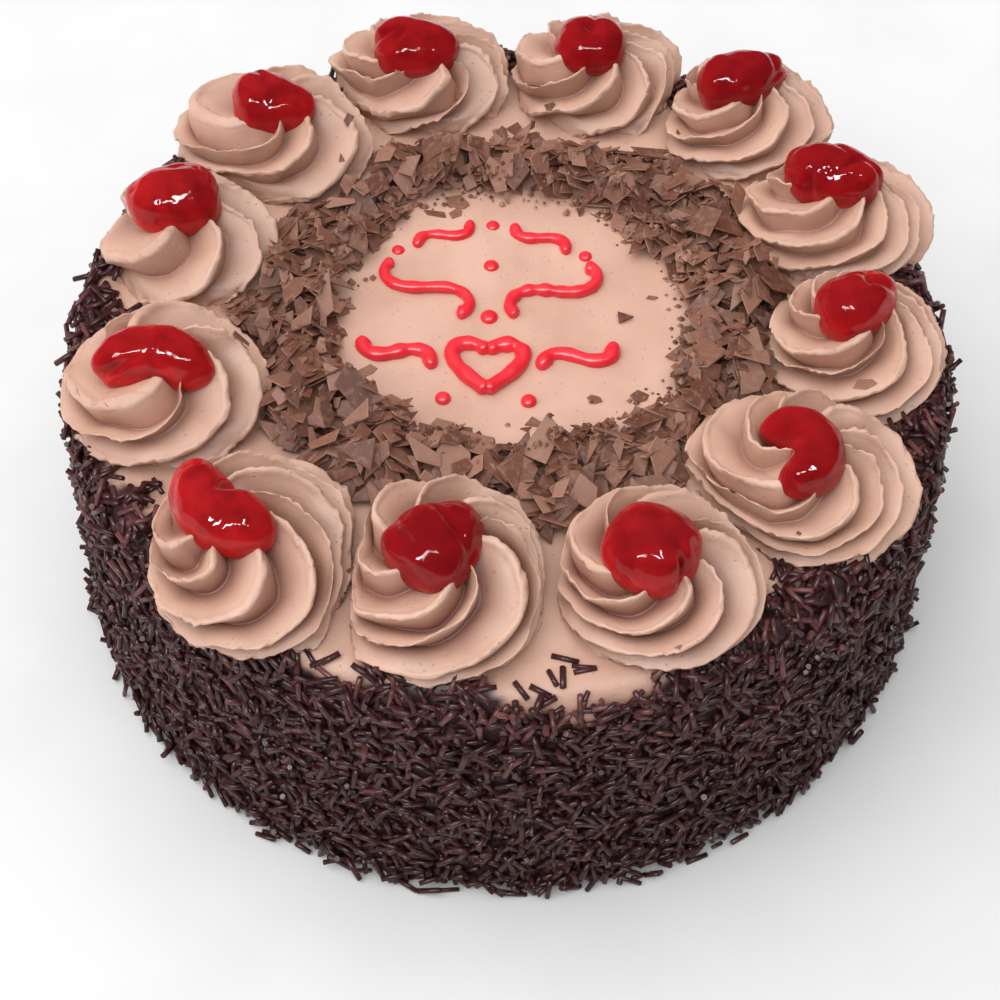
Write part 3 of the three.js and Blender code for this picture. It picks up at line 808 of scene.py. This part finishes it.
def flake_mesh(outline, slope, middle, thickness):
    """Points and faces of a shard that lies at the given slope, with its edges broken a little."""
    centre = outline.mean(axis=0)
    reach = norm(outline - centre, axis=1)[:, None]
    inner = centre + (outline - centre) * (1 - FLAKE_BEVEL / reach)
    levels = ((inner, 0.0), (outline, FLAKE_EDGE[0]), (outline, FLAKE_EDGE[1]), (inner, 1.0))
    rows = [np.column_stack([ring, middle + (ring - centre) @ slope + share * thickness])
            for ring, share in levels]
    return np.vstack(rows), prism_faces(len(levels), len(outline))


def flake_ring_place(rng):
    """A random place in the ring of flakes, measured from the ring's middle."""
    turn = rng.uniform(0, math.tau)
    inner = FLAKE_RING[0]
    for count, phase, height in FLAKE_RING_WAVES:
        inner += height * math.sin(count * turn + phase)
    reach = math.sqrt(rng.uniform(inner ** 2, FLAKE_RING[1] ** 2))
    return reach * heading(turn)


def stray_flake_place(rng):
    """A random place on the clear icing inside the ring."""
    turn = rng.uniform(0, math.tau)
    reach = FLAKE_RING[0] - STRAY_FLAKE_INSET - abs(rng.normal(0, CRUMB_SPREAD))
    return reach * heading(turn)


def lay_flake(heap, rng, place, reach, tilt):
    """Lays one flake on the heap, or returns nothing where a rosette stands or the ornament lies."""
    outline = flake_outline(rng, reach) + place
    window, inside, x, y = heap.under(outline)
    if not inside.any() or heap.bare[window][inside].any():
        return None
    if heap.blocked[window][inside].mean() > FLAKE_COVERED:
        return None
    below = heap.height[window][inside]
    centre = outline.mean(axis=0)
    flat = np.column_stack([x[inside] - centre[0], y[inside] - centre[1], np.ones(inside.sum())])
    fitted = np.linalg.lstsq(flat, below, rcond=None)[0]
    slope = FLAKE_SETTLING * fitted[:2] + rng.normal(0, tilt, 2)
    slope = np.clip(slope, -FLAKE_STEEPEST, FLAKE_STEEPEST)
    thickness = between(FLAKE_THICKNESS, rng.random())
    plane = flat[:, :2] @ slope
    middle = np.quantile(below - plane, FLAKE_CLEARS)
    heap.height[window][inside] = np.maximum(below, plane + middle + thickness)
    return flake_mesh(outline, slope, middle, thickness)


def ring_flakes(heap, rng):
    """Flakes heaped in the ring, and single ones on the clear icing inside it."""
    for _ in range(FLAKE_COUNT):
        reach = between(FLAKE_REACH, rng.beta(*FLAKE_REACH_DRAW))
        yield lay_flake(heap, rng, flake_ring_place(rng), reach, FLAKE_TILT)
    for _ in range(STRAY_FLAKES):
        reach = between(FLAKE_REACH, STRAY_FLAKE_SIZE * rng.random())
        yield lay_flake(heap, rng, stray_flake_place(rng), reach, 0.0)


def cream_flakes(rng):
    """Single flakes that lie on the rosettes, each in the slope of the cream under it."""
    for number, direction, share, reach in CREAM_FLAKES:
        rosette = ROSETTES[number - 1]
        points, faces = capped_skin(rosette_rows(number - 1)[0])
        target = share * rosette.radius * (heading(math.radians(direction)) * [1, rosette.narrow])
        near = np.argsort(norm(points[:, :2] - target, axis=1))[:CREAM_BED_POINTS]
        highest = near[np.argmax(points[near, 2])]
        normal = skin_normals(points, faces)[highest]
        slope = np.clip(-normal[:2] / max(normal[2], CREAM_UPRIGHT), -CREAM_STEEPEST, CREAM_STEEPEST)
        outline = flake_outline(rng, reach) + rosette_place(rosette) - TOPPING_MIDDLE + points[highest, :2]
        yield flake_mesh(outline, slope, points[highest, 2], FLAKE_THICKNESS[0])


def build_flakes(heap):
    rng = default_rng(SEED + 2)
    laid = [flake for flake in (*ring_flakes(heap, rng), *cream_flakes(rng)) if flake is not None]
    points, faces = joined(laid)
    points += [*TOPPING_MIDDLE, CAKE_HEIGHT]
    flakes = add_piece("chocolate_flakes", points, faces, flake_look(), smooth=False)
    # Painted highlight: the rings of a flake's outline are drawn lighter than its faces
    edges = np.array([0, FLAKE_EDGE_HIGHLIGHT, FLAKE_EDGE_HIGHLIGHT, 0])
    shades = [rng.random() * FLAKE_BODY_SHADE + np.repeat(edges, len(part) // len(edges))
              for part, _ in laid]
    set_shade(flakes, np.concatenate(shades))
    return flakes


def build_crumbs(heap):
    """Small broken bits, thickest at the ring's inner edge and thinning towards the middle."""
    rng = default_rng(SEED + 3)
    turn = rng.uniform(0, math.tau, CRUMB_COUNT)
    reach = FLAKE_RING[0] + CRUMB_START - np.abs(rng.normal(0, CRUMB_SPREAD, CRUMB_COUNT))
    radii = between(CRUMB_RADIUS, rng.beta(*CRUMB_RADIUS_DRAW, CRUMB_COUNT))
    place = np.stack([reach * np.cos(turn), reach * np.sin(turn)], axis=1)
    cell = ((place + HEAP_REACH) / HEAP_CELL).astype(int)
    z = heap.height[cell[:, 0], cell[:, 1]] + CRUMB_LIFT * radii
    corners = np.array(CRUMB_CORNERS, float)
    sizes = rng.uniform(*CRUMB_UNEVEN, (CRUMB_COUNT, len(corners), 1)) * radii[:, None, None]
    centres = np.column_stack([place + TOPPING_MIDDLE, z + CAKE_HEIGHT])
    points = (centres[:, None] + corners * sizes).reshape(-1, 3)
    starts = np.arange(CRUMB_COUNT)[:, None, None] * len(corners)
    faces = (starts + np.array(CRUMB_FACES)).reshape(-1, 3).tolist()
    crumbs = add_piece("chocolate_crumbs", points, faces, flake_look(), smooth=False)
    set_shade(crumbs, np.repeat(rng.random(CRUMB_COUNT), len(corners)))
    return crumbs


# Rosettes


def rosette_place(rosette):
    return TOPPING_MIDDLE + rosette.ring * heading(math.radians(rosette.direction))


def ridge_profile():
    """Places across one ridge, as shares of its width, and how far each lies below the crest."""
    side = np.linspace(0, 1, RIDGE_SIDE_STEPS)
    lip = np.linspace(0, math.pi, RIDGE_LIP_STEPS + 2)[1:-1]
    climb = 1 - (1 - LIP_SINK) * side ** RIDGE_HOLLOW
    at = np.concatenate([side * (RIDGE_CREST - LIP_WIDTH), RIDGE_CREST - LIP_WIDTH * np.cos(lip),
                         1 - side[:0:-1] * (1 - RIDGE_CREST - LIP_WIDTH)])
    sink = np.concatenate([climb, LIP_SINK * (1 - np.sin(lip)), climb[:0:-1]])
    return at, sink


def squash(points, index):
    """Soft cream flattens against its neighbours: the outer part of the reach is pressed together."""
    rosette = ROSETTES[index]
    for step in (1, -1):
        away = rosette_place(ROSETTES[(index + step) % len(ROSETTES)]) - rosette_place(rosette)
        limit = norm(away) / 2
        away /= norm(away)
        lean = max(0.0, away @ (rosette.lean_x, rosette.lean_y))
        widest = rosette.radius * (1 + UNEVEN_REACH) + SQUASH_LEAN * lean
        reach = points[..., 0] * away[0] + points[..., 1] * away[1]
        start = SQUASH_FROM * limit
        press = min(1.0, (limit - start) / (widest - start))
        move = np.where(reach > start, (reach - start) * (press - 1), 0)
        points[..., 0] += away[0] * move
        points[..., 1] += away[1] * move
    return points


def over_ridges(values, columns, round_trip=0.0):
    """A value for each column, from one for each ridge; a round of the ridges adds the round trip."""
    wrapped = [*values, values[0] + round_trip]
    return np.interp(columns, np.arange(len(wrapped)), wrapped)


def uneven(index, pace):
    """One uneven value for each ridge of a rosette, from -1 to 1."""
    return np.sin(pace * (np.arange(ROSETTES[index].ridges) + 1) + index)


def ridge_reach(index, columns, sinks, rise):
    """Distance from a rosette's middle and height above its foot, for each row and column."""
    radius = ROSETTES[index].radius
    size = over_ridges(1 + UNEVEN_REACH * uneven(index, REACH_PACE), columns)
    slope = np.radians(between(ROSETTE_SLOPES, rise))
    base = math.sin(math.radians(ROSETTE_SLOPES[0]))
    steep = ROSETTE_HEIGHT / (1 - base)
    sunk = RIDGE_DEPTH * np.interp(rise, *np.array(RIDGE_DEPTH_SHARES).T) * sinks
    facing = np.arctan2(radius * np.clip(np.sin(slope), 0, None), steep * np.cos(slope))
    out = radius * size * np.cos(slope) - sunk * np.cos(facing)
    return out, steep * (np.sin(slope) - base) - sunk * np.sin(facing)


def ridge_turn(index, columns, rise):
    """Direction from a rosette's middle, for each row and column."""
    ridges, first_ridge, sweep, ease, _ = ROSETTES[index][-5:]
    widths = 1 + UNEVEN_WIDTH * uneven(index, WIDTH_PACE)
    starts = (np.cumsum(widths) - widths) * ridges / widths.sum()
    drift = over_ridges(UNEVEN_SWEEP * uneven(index, SWEEP_PACE), columns)
    across = over_ridges(starts, columns, ridges) + drift * rise
    eased = SWEEP_END * (1 - (1 - rise / SWEEP_END) ** ease)
    turn = np.radians(first_ridge + sweep * eased) + math.tau * across / ridges
    return turn - RIDGE_WARP * np.sin(turn)


def ear_lift(index, columns, rise, turn):
    """How far the lips stand up as ears, near the top and mostly at the back."""
    shares = over_ridges(1 + UNEVEN_EAR * (uneven(index, EAR_PACE) - 1), columns)
    behind = np.clip(EAR_FRONT + np.sin(turn + EAR_TURN), 0, 1)
    grown = np.exp(-((rise - EAR_RISE) / EAR_SPREAD) ** 2) * behind
    return ROSETTES[index].ears * shares * grown


def roughen(rows, sinks, rise, rng):
    """Moves a rosette's points: soft waves all over, ragged lips and a torn foot."""
    flat = rows.reshape(-1, 3)
    flat += CREAM_WAVE * np.stack([waves(flat, CREAM_WAVE_SIZE, rng) for _ in range(3)], axis=1)
    lip = np.clip(1 - np.broadcast_to(sinks, rows.shape[:2]).ravel() / RAGGED_SINK, 0, 1)
    flat += RAGGED * (lip * waves(flat, RAGGED_SIZE, rng))[:, None] * RAGGED_SHARES
    foot = np.clip(1 - np.broadcast_to(rise, rows.shape[:2]).ravel() / TORN_RISE, 0, 1)
    flat[:, :2] *= (1 + TORN * foot * waves(flat, TORN_SIZE, rng))[:, None]


def rosette_rows(index):
    """Rows of points from a rosette's foot to its middle, and the painted shade of each column."""
    rosette = ROSETTES[index]
    at, sink = ridge_profile()
    columns = (np.arange(rosette.ridges)[:, None] + at).ravel()
    sinks = np.tile(sink, rosette.ridges)
    rise = np.linspace(0, SWEEP_END, ROSETTE_ROWS)[:, None]
    out, height = ridge_reach(index, columns, sinks, rise)
    turn = ridge_turn(index, columns, rise)
    up = height + ear_lift(index, columns, rise, turn) * (1 - sinks)
    lean = np.clip(rise, 0, 1) ** 2
    x = out * np.cos(turn) + rosette.lean_x * lean
    y = rosette.narrow * out * np.sin(turn) + rosette.lean_y * lean
    rows = squash(np.stack([x, y, up], axis=2), index)
    roughen(rows, sinks, rise, default_rng(ROSETTE_SEED + index))
    skirt = rows[:1] * [1, 1, 0] - [0, 0, SKIRT_DEPTH]
    return np.concatenate([skirt, rows]), painted_crease_shade(columns, sinks)


def painted_crease_shade(columns, sinks):
    """Painted shade of each column: the wall under a lip is drawn darker than the ledge above it."""
    wall = columns % 1 > RIDGE_CREST
    return np.where(wall, sinks ** WALL_SHADE, sinks ** LEDGE_SHADE)


def build_rosette(index, material):
    rows, shade = rosette_rows(index)
    points, faces = capped_skin(rows)
    points += [*rosette_place(ROSETTES[index]), CAKE_HEIGHT]
    name = f"{index + 1:02d}"
    rosette = add_piece(f"cream_rosette_{name}", points, faces, material)
    # Painted shade in the creases, at each rosette's own strength
    set_shade(rosette, CREASE_SHARES[index] * np.append(np.tile(shade, len(rows)), [0, 0]))
    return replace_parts(rosette, f"rosette_{name}")


# Cherries


def bent(along, across, up, bend, half):
    """Points beside a spine that bends towards +Y through the given angle."""
    if bend == 0:
        return np.stack([along, across, up], axis=-1)
    arc = 2 * half / math.radians(bend)
    reach = arc - across
    return np.stack([reach * np.sin(along / arc), arc - reach * np.cos(along / arc), up], axis=-1)


def cherry_rows(index):
    """Rings of points from one tip of a cherry to the other, round the middle of its box."""
    length, half_width, half_height, bend, taper, turn, _ = CHERRIES[index]
    share = -np.cos(math.pi * np.linspace(*CHERRY_SPAN, CHERRY_RINGS))[:, None]
    wide = (1 - np.abs(share) ** CHERRY_BLUNT) ** (1 / CHERRY_BLUNT) * (1 + taper * share)
    angle = math.tau * np.arange(CHERRY_SIDES) / CHERRY_SIDES
    half = length / 2
    along = np.broadcast_to(half * share, (CHERRY_RINGS, CHERRY_SIDES))
    rows = bent(along, half_width * wide * np.cos(angle), half_height * wide * np.sin(angle), bend, half)
    flat = rows.reshape(-1, 3)
    flat -= (flat.min(axis=0) + flat.max(axis=0)) / 2
    return rows @ np.array(Matrix.Rotation(math.radians(turn), 3, "Z")).T


def dent(points, azimuth, elevation, turn, reach, width, depth):
    """Presses a long dent into a skin round the origin, at the given direction."""
    azimuth, elevation, turn = np.radians([azimuth, elevation, turn])
    ahead = np.array([math.cos(azimuth) * math.cos(elevation), math.sin(azimuth) * math.cos(elevation),
                      math.sin(elevation)])
    east = np.array([-math.sin(azimuth), math.cos(azimuth), 0])
    north = np.cross(ahead, east)
    along = east * math.cos(turn) + north * math.sin(turn)
    forward = points @ ahead
    one = np.degrees(np.arctan2(points @ along, forward)) / reach
    two = np.degrees(np.arctan2(points @ np.cross(ahead, along), forward)) / width
    press = np.where(forward > 0, depth * np.exp(-one ** 2 - two ** 2), 0)
    return points * (1 - press / norm(points, axis=1))[:, None]


def random_dent(rng):
    return (rng.uniform(0, 360), rng.uniform(*CREASE_ELEVATION), rng.uniform(0, 180),
            between(CREASE_REACH, rng.random()), between(CREASE_WIDTH, rng.random()),
            between(CREASE_DEPTH, rng.random()))


def build_cherry(index, material):
    rng = default_rng(CHERRY_SEED + index)
    points, faces = capped_skin(cherry_rows(index))
    for number, *shape in CHERRY_DENTS:
        if number == index + 1:
            points = dent(points, *shape)
    *_, creases = CHERRIES[index]
    for _ in range(creases):
        points = dent(points, *random_dent(rng))
    relief = CHERRY_WAVE * waves(points, CHERRY_WAVE_SIZE, rng)
    points += skin_normals(points, faces) * relief[:, None]
    place = rosette_place(ROSETTES[index]) + (ROSETTES[index].lean_x, ROSETTES[index].lean_y)
    points += [*place, CAKE_HEIGHT + GAP + CHERRY_LIFT]
    name = f"{index + 1:02d}"
    cherry = add_piece(f"candied_cherry_{name}", points, faces, material)
    set_shade(cherry, np.full(len(points), CHERRY_SHADES[index]))
    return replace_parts(cherry, f"cherry_{name}")


# Piped ornament


def scroll_points(middle, length, curl, turn, curl_side):
    """A stroke whose two ends curl to opposite sides, more tightly towards the tips."""
    share = np.linspace(-1, 1, PIPING_STEPS)
    bearing = math.radians(curl) * share ** 2
    step = np.stack([np.cos(bearing), curl_side * np.sin(bearing)], axis=1)
    step *= length / PIPING_STEPS
    line = np.cumsum(step, axis=0)
    line -= line[PIPING_STEPS // 2 - 1]
    return turned(line, math.radians(turn)) + middle


def ornament_places():
    """Places on the ornament's scrolls and dots, each with the reach that stays bare round it."""
    for middle, length, radius, curl, turn, side in SCROLLS:
        for place in scroll_points(middle, length, curl, turn, side):
            yield PIPING_MIDDLE + place, radius + BARE_MARGIN
    for *place, radius in DOTS:
        yield PIPING_MIDDLE + place, radius + BARE_MARGIN


def heart_points(side):
    """One half of the usual heart curve, from the cleft round to the tip."""
    angle = np.linspace(*HEART_SPAN, PIPING_STEPS)
    x = side * np.sin(angle) ** 3
    y = (13 * np.cos(angle) - 5 * np.cos(2 * angle) - 2 * np.cos(3 * angle)) / 16
    line = np.array(HEART_MIDDLE) + HEART_SIZE * np.stack([x, y], axis=1)
    return np.vstack([run_on(line[1], line[0]), line, run_on(line[-2], line[-1])])


def run_on(before, end):
    """A place straight on past the end of a line."""
    return end + HEART_OVERLAP * (end - before) / norm(end - before)


def cord(line, radius, rng, end_bulb=END_BULB):
    """Points and faces of a soft cord along a flat line, with round ends and uneven thickness."""
    gone = distance_along(line)
    length = gone[-1]
    cap = radius * (1 - np.cos(np.linspace(0, math.pi / 2, END_STEPS)))
    straight = np.linspace(cap[-1], length - cap[-1], PIPING_STEPS)[1:-1]
    at = np.concatenate([cap, straight, length - cap[::-1]])
    line = np.stack([np.interp(at, gone, line[:, 0]), np.interp(at, gone, line[:, 1])], axis=1)
    tangent = np.gradient(line, at + TINY_STEP * np.arange(len(at)), axis=0)
    tangent /= norm(tangent, axis=1)[:, None]
    side = np.column_stack([-tangent[:, 1], tangent[:, 0], np.zeros(len(line))])
    ends = np.minimum(at, length - at)
    ball = np.sqrt(np.clip(1 - (1 - np.clip(ends / radius, 0, 1)) ** 2, END_TIP, 1))
    bulb = end_bulb * np.exp(-(ends / (END_BULB_REACH * radius)) ** 2)
    thick = radius * ball * (1 + bulb + CORD_UNEVEN * waves(line, CORD_WAVE, rng))
    angle = math.tau * np.arange(PIPING_SIDES) / PIPING_SIDES
    centre = np.column_stack([line, np.full(len(line), radius * PIPING_SINK)])
    ring = side[:, None] * np.cos(angle)[:, None] + np.array([0, 0, 1.0]) * np.sin(angle)[:, None]
    return capped_skin(centre[:, None] + ring * thick[:, None, None])


def dot(x, y, radius):
    """Points and faces of a flattened ball, half sunk in the icing."""
    turn = np.linspace(-0.5 * math.pi, 0.5 * math.pi, DOT_ROWS)[:, None]
    angle = math.tau * np.arange(PIPING_SIDES) / PIPING_SIDES
    reach = radius * np.cos(turn)
    height = np.broadcast_to(DOT_HEIGHT * radius * np.sin(turn), (DOT_ROWS, PIPING_SIDES))
    return capped_skin(np.stack([x + reach * np.cos(angle), y + reach * np.sin(angle), height], axis=2))


def build_piping():
    rng = default_rng(SEED + 4)
    made = [cord(scroll_points(middle, length, curl, turn, side), radius, rng)
            for middle, length, radius, curl, turn, side in SCROLLS]
    made += [cord(heart_points(side), HEART_RADIUS, rng, end_bulb=0.0) for side in (1, -1)]
    made += [dot(*row) for row in DOTS]
    points, faces = joined(made)
    points += [*PIPING_MIDDLE, CAKE_HEIGHT]
    return add_piece("piped_ornament", points, faces, piping_look())


# Stage


def build_floor():
    bpy.ops.mesh.primitive_plane_add(size=FLOOR_SIZE)
    floor = bpy.context.object
    floor.name = "floor"
    paint = Paint("pale_floor", {"Roughness": 0.6})
    dark, light = FLOOR_GREYS
    colour = paint.ramp(paint.noise(size=40), (0.4, dark), (0.6, light))
    floor.data.materials.append(paint.finish(colour))


def add_tube(place, size, power):
    """A lamp that faces the middle of the cake's top."""
    light = bpy.data.lights.new("tube", "AREA")
    light.shape = "RECTANGLE"
    light.size, light.size_y = size
    light.energy = power
    lamp = bpy.data.objects.new("tube", light)
    lamp.location = place
    ahead = Vector((0, 0, CAKE_HEIGHT * MM)) - Vector(place)
    lamp.rotation_euler = ahead.to_track_quat("-Z", "Y").to_euler()
    lamp.visible_diffuse = False
    bpy.context.scene.collection.objects.link(lamp)


def build_sky():
    """Soft light from all round, brighter overhead."""
    world = bpy.data.worlds.new("studio")
    world.use_nodes = True
    nodes, links = world.node_tree.nodes, world.node_tree.links
    upward = nodes.new("ShaderNodeVectorMath")
    upward.operation = "DOT_PRODUCT"
    upward.inputs[1].default_value = Vector(SKY_LEAN).normalized()
    links.new(nodes.new("ShaderNodeTexCoord").outputs["Generated"], upward.inputs[0])
    fade = nodes.new("ShaderNodeValToRGB")
    fade.color_ramp.elements[0].position = SKY_FROM
    fade.color_ramp.elements[0].color = (SKY_LOW, SKY_LOW, SKY_LOW, 1)
    fade.color_ramp.elements[1].color = (SKY_HIGH, SKY_HIGH, SKY_HIGH, 1)
    links.new(upward.outputs["Value"], fade.inputs["Fac"])
    links.new(fade.outputs["Color"], nodes["Background"].inputs["Color"])
    bpy.context.scene.world = world
    world.cycles_visibility.glossy = False


def build_lights():
    build_sky()
    for row in TUBES:
        add_tube(*row)
    bpy.context.scene.view_settings.view_transform = "Standard"
    bpy.context.scene.cycles.max_bounces = BOUNCES


def build_camera():
    camera = bpy.data.cameras.new("camera")
    camera.sensor_width = CAMERA_SENSOR
    camera.lens = CAMERA_LENS
    holder = bpy.data.objects.new("camera", camera)
    right = Vector(CAMERA_RIGHT).normalized()
    back = right.cross(Vector(CAMERA_UP)).normalized()
    up = back.cross(right)
    turn = Matrix((right, up, back)).transposed().to_4x4()
    holder.matrix_world = Matrix.Translation(CAMERA_EYE) @ turn
    bpy.context.scene.collection.objects.link(holder)
    bpy.context.scene.camera = holder


def build_cake():
    build_icing()
    build_strands()
    heap = Heap()
    build_flakes(heap)
    build_crumbs(heap)
    build_piping()
    cream = cream_look()
    cherry = cherry_look()
    for index in range(len(ROSETTES)):
        build_rosette(index, cream)
        build_cherry(index, cherry)


build_camera()
build_floor()
build_lights()
build_cake()
